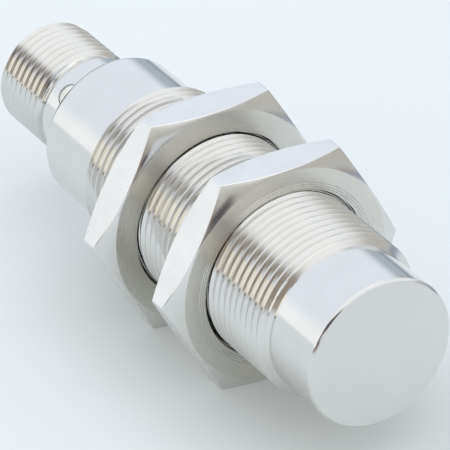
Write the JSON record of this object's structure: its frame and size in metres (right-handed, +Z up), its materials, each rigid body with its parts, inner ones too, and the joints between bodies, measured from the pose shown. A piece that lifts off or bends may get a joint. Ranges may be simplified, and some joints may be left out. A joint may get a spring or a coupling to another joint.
{
  "type": "inductive proximity sensor",
  "caption": "All-metal cylindrical proximity sensor with threaded barrel, closed metal sensing face, hexagonal lock nuts and a threaded plug connection.",
  "frame": {"origin": "centre of the sensing face", "axes": "+X along the barrel and out of the sensing face, +Z up with the sensor lying on one flat of each lock nut"},
  "size_m": [0.064, 0.0278, 0.024],
  "materials": {
    "barrel_steel": "turned stainless steel, fine lathe lines, bright",
    "nut_steel": "milled stainless steel, satin, fine grain",
    "connector_steel": "turned stainless steel, bright",
    "window_clear": "clear plastic, milky in the window",
    "contact_plastic": "black glass-filled plastic",
    "contact_gold": "gold-plated brass",
    "seal_rubber": "black rubber",
    "ferrite": "sintered ferrite, dark grey, matt",
    "bobbin_plastic": "natural moulded plastic",
    "copper": "enamelled copper wire",
    "board_laminate": "green laminate with solder mask",
    "chip_black": "black moulded chip housings",
    "capacitor_ceramic": "brown ceramic",
    "capacitor_tantalum": "orange moulded plastic",
    "led_lens": "clear yellowish lens",
    "wire_insulation": "red wire insulation",
    "cast_resin": "cast polyurethane resin"
  },
  "bodies": {
    "barrel": {"housing": "barrel_steel", "connector_shell": "connector_steel", "contact_carrier": "contact_plastic", "contact_pin_1": "contact_gold", "contact_pin_2": "contact_gold", "contact_pin_3": "contact_gold", "contact_pin_4": "contact_gold", "light_ring": "window_clear", "carrier_seal": "seal_rubber", "shell_seal": "seal_rubber", "pot_core": "ferrite", "coil_bobbin": "bobbin_plastic", "coil_winding": "copper", "coil_leads": "copper", "core_carrier": "bobbin_plastic", "insulating_sleeve": "bobbin_plastic", "circuit_board": "board_laminate", "oscillator_chip": "chip_black", "output_driver": "chip_black", "chip_capacitors": "capacitor_ceramic", "chip_resistors": "chip_black", "filter_capacitor": "capacitor_tantalum", "surge_diodes": "chip_black", "status_leds": "led_lens", "pin_wires": "wire_insulation", "potting_compound": "cast_resin"},
    "front_nut_thread_zone": {"front_nut_thread": "nut_steel"},
    "front_nut": {"front_nut": "nut_steel"},
    "rear_nut_thread_zone": {"rear_nut_thread": "nut_steel"},
    "rear_nut": {"rear_nut": "nut_steel"}
  },
  "joints": [
    {"name": "front_nut_travel", "type": "slide", "parent": "barrel", "child": "front_nut_thread_zone", "axis": [1, 0, 0], "range_m": [-0.00408, 0.00908]},
    {"name": "front_nut_turn", "type": "hinge", "parent": "front_nut_thread_zone", "child": "front_nut", "pos_m": [0, 0, 0], "axis": [1, 0, 0], "range_deg": [-1472, 3272]},
    {"name": "rear_nut_travel", "type": "slide", "parent": "barrel", "child": "rear_nut_thread_zone", "axis": [1, 0, 0], "range_m": [-0.00792, 0.00492]},
    {"name": "rear_nut_turn", "type": "hinge", "parent": "rear_nut_thread_zone", "child": "rear_nut", "pos_m": [0, 0, 0], "axis": [1, 0, 0], "range_deg": [-2852, 1772]}
  ],
  "couplings": [
    {"joint": "front_nut_turn", "follows": "front_nut_travel", "rad_per_m": 6283.2},
    {"joint": "rear_nut_turn", "follows": "rear_nut_travel", "rad_per_m": 6283.2}
  ]
}
